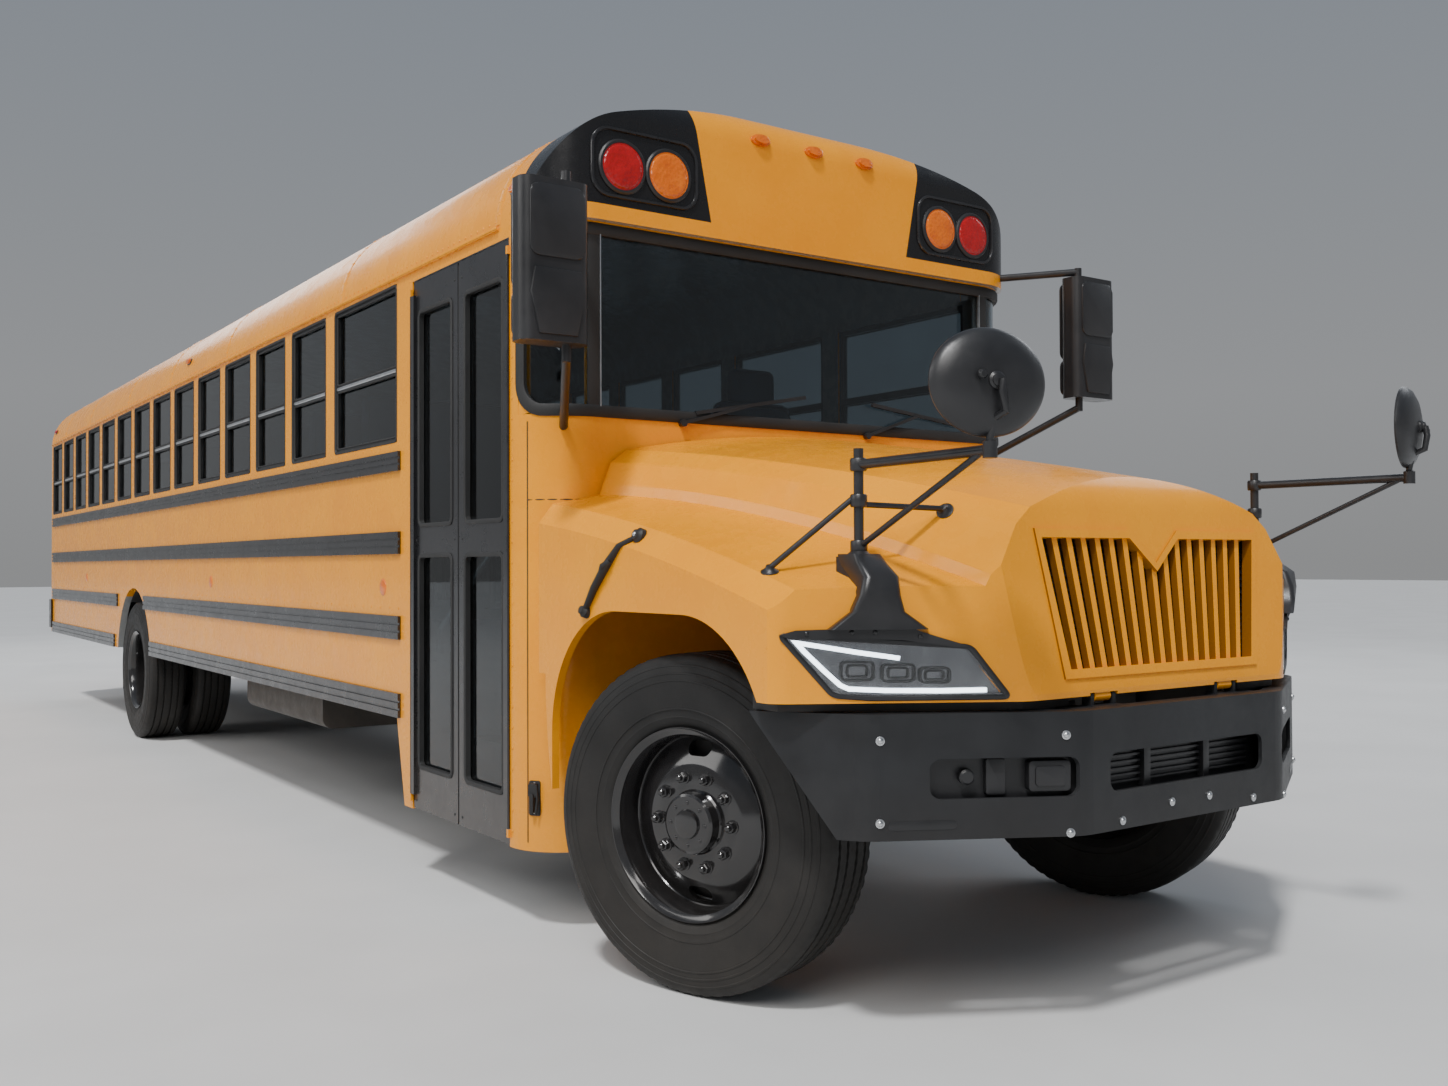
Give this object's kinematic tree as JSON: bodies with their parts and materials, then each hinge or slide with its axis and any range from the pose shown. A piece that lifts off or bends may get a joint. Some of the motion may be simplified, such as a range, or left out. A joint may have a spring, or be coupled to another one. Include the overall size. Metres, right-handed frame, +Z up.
{
  "type": "school bus",
  "caption": "Long-nosed school bus with a tilting hood, folding entrance doors, a rear exit, roof hatches, a swing-out stop arm and steered front wheels.",
  "frame": {"origin": "on the ground under the middle of the whole vehicle's box", "axes": "-Y is the bus's front, +X its left side, +Z up; the front wheels stand steered to the left as in the picture"},
  "size_m": [2.92, 13, 3.171],
  "materials": {
    "yellow_paint": "gloss enamel",
    "black_paint": "semi-gloss enamel",
    "charcoal_plastic": "fine-grained",
    "iron": "cast",
    "alloy": "mill finish",
    "steel": "dulled",
    "dark_plastic": "grained",
    "floor_rubber": "ribbed",
    "black_rubber": "matt",
    "tyre": "moulded",
    "tinted_glass": "tinted",
    "lamp_glass": "clear",
    "mirror_glass": "polished, black back",
    "red_lens": "ribbed lens",
    "amber_lens": "ribbed lens",
    "red_sign": "plain, blank",
    "seat_vinyl": "coated fabric"
  },
  "bodies": {
    "coach": {"frame_rails": "black_paint", "engine_block": "iron", "radiator": "alloy", "drive_shaft": "black_paint", "front_axle": "black_paint", "rear_axle": "black_paint", "leaf_springs": "black_paint", "fuel_tank": "black_paint", "exhaust": "steel", "front_bumper": "charcoal_plastic", "rear_bumper": "black_paint", "floor": "floor_rubber", "step_well": "alloy", "wall_left": "yellow_paint", "wall_right": "yellow_paint", "front_wall": "yellow_paint", "windshield": "tinted_glass", "front_cap": "yellow_paint", "roof": "yellow_paint", "rear_wall": "yellow_paint", "window_sashes": "alloy", "window_glass": "tinted_glass", "rub_rails": "black_paint", "seats": "seat_vinyl", "driver_seat": "seat_vinyl", "dashboard": "dark_plastic", "body_mirrors": "charcoal_plastic", "red_lamps": "red_lens", "amber_lamps": "amber_lens", "wipers": "dark_plastic", "mud_flaps": "black_rubber", "hatch_frames": "charcoal_plastic", "stop_bracket": "black_paint"},
    "hood": {"hood_shell": "yellow_paint", "grille": "yellow_paint", "headlamps": "lamp_glass", "mirror_posts": "black_paint", "hood_mirrors": "mirror_glass"},
    "door_front": {"door_front_panel": "black_paint", "door_front_glass": "tinted_glass"},
    "door_rear": {"door_rear_panel": "black_paint", "door_rear_glass": "tinted_glass"},
    "rear_door": {"rear_door_panel": "yellow_paint", "rear_door_glass": "tinted_glass"},
    "stop_arm": {"stop_sign": "red_sign"},
    "hatch_front": {"hatch_lid_front": "charcoal_plastic"},
    "hatch_rear": {"hatch_lid_rear": "charcoal_plastic"},
    "helm": {"steering_wheel": "dark_plastic"},
    "knuckle_left": {"knuckle_left": "black_paint"},
    "knuckle_right": {"knuckle_right": "black_paint"},
    "tie_rod": {"tie_rod": "black_paint"},
    "wheel_front_left": {"tyre_front_left": "tyre", "rim_front_left": "black_paint"},
    "wheel_front_right": {"tyre_front_right": "tyre", "rim_front_right": "black_paint"},
    "wheels_rear_left": {"tyres_rear_left": "tyre", "rims_rear_left": "black_paint"},
    "wheels_rear_right": {"tyres_rear_right": "tyre", "rims_rear_right": "black_paint"}
  },
  "joints": [
    {"name": "hood_tilt", "type": "hinge", "parent": "coach", "child": "hood", "pos_m": [0, -6.185, 0.945], "axis": [1, 0, 0], "range_deg": [0, 65]},
    {"name": "door_front_swing", "type": "hinge", "parent": "coach", "child": "door_front", "pos_m": [-1.225, -4.275, 1.415], "axis": [0, 0, 1], "range_deg": [0, 90]},
    {"name": "door_rear_swing", "type": "hinge", "parent": "coach", "child": "door_rear", "pos_m": [-1.225, -3.345, 1.415], "axis": [0, 0, 1], "range_deg": [-90, 0]},
    {"name": "rear_door_swing", "type": "hinge", "parent": "coach", "child": "rear_door", "pos_m": [-0.47, 6.45, 1.74], "axis": [0, 0, 1], "range_deg": [0, 110]},
    {"name": "stop_arm_swing", "type": "hinge", "parent": "coach", "child": "stop_arm", "pos_m": [1.262, -3.99, 1.605], "axis": [0, 0, -1], "range_deg": [0, 90]},
    {"name": "hatch_front_lift", "type": "hinge", "parent": "coach", "child": "hatch_front", "pos_m": [0, -1.65, 3.136], "axis": [1, 0, 0], "range_deg": [0, 80]},
    {"name": "hatch_rear_lift", "type": "hinge", "parent": "coach", "child": "hatch_rear", "pos_m": [0, 3.05, 3.136], "axis": [1, 0, 0], "range_deg": [0, 80]},
    {"name": "steer_left", "type": "hinge", "parent": "coach", "child": "knuckle_left", "pos_m": [0.9, -5.2, 0.525], "axis": [0, 0, 1], "range_deg": [-53.7, 16.3]},
    {"name": "steer_right", "type": "hinge", "parent": "coach", "child": "knuckle_right", "pos_m": [-0.9, -5.2, 0.525], "axis": [0, 0, 1], "range_deg": [-53.7, 16.3]},
    {"name": "tie_rod_swing", "type": "hinge", "parent": "knuckle_left", "child": "tie_rod", "pos_m": [0.8455, -5.03897, 0.435], "axis": [0, 0, 1], "range_deg": [-16.3, 53.7]},
    {"name": "helm_turn", "type": "hinge", "parent": "coach", "child": "helm", "pos_m": [0.64, -4.04436, 1.66898], "axis": [0, 0.8192, 0.5736], "range_deg": [-644.4, 195.6]},
    {"name": "spin_front_left", "type": "hinge", "parent": "knuckle_left", "child": "wheel_front_left", "pos_m": [0.99472, -5.16794, 0.525], "axis": [0.9472, 0.3206, 0], "continuous": true},
    {"name": "spin_front_right", "type": "hinge", "parent": "knuckle_right", "child": "wheel_front_right", "pos_m": [-0.99472, -5.23206, 0.525], "axis": [0.9472, 0.3206, 0], "continuous": true},
    {"name": "spin_rear_left", "type": "hinge", "parent": "coach", "child": "wheels_rear_left", "pos_m": [0.906, 2.36, 0.525], "axis": [1, 0, 0], "continuous": true},
    {"name": "spin_rear_right", "type": "hinge", "parent": "coach", "child": "wheels_rear_right", "pos_m": [-0.906, 2.36, 0.525], "axis": [1, 0, 0], "continuous": true}
  ],
  "couplings": [
    {"joint": "door_rear_swing", "follows": "door_front_swing", "ratio": -1},
    {"joint": "steer_right", "follows": "steer_left", "ratio": 1},
    {"joint": "tie_rod_swing", "follows": "steer_left", "ratio": -1},
    {"joint": "helm_turn", "follows": "steer_left", "ratio": 12}
  ]
}
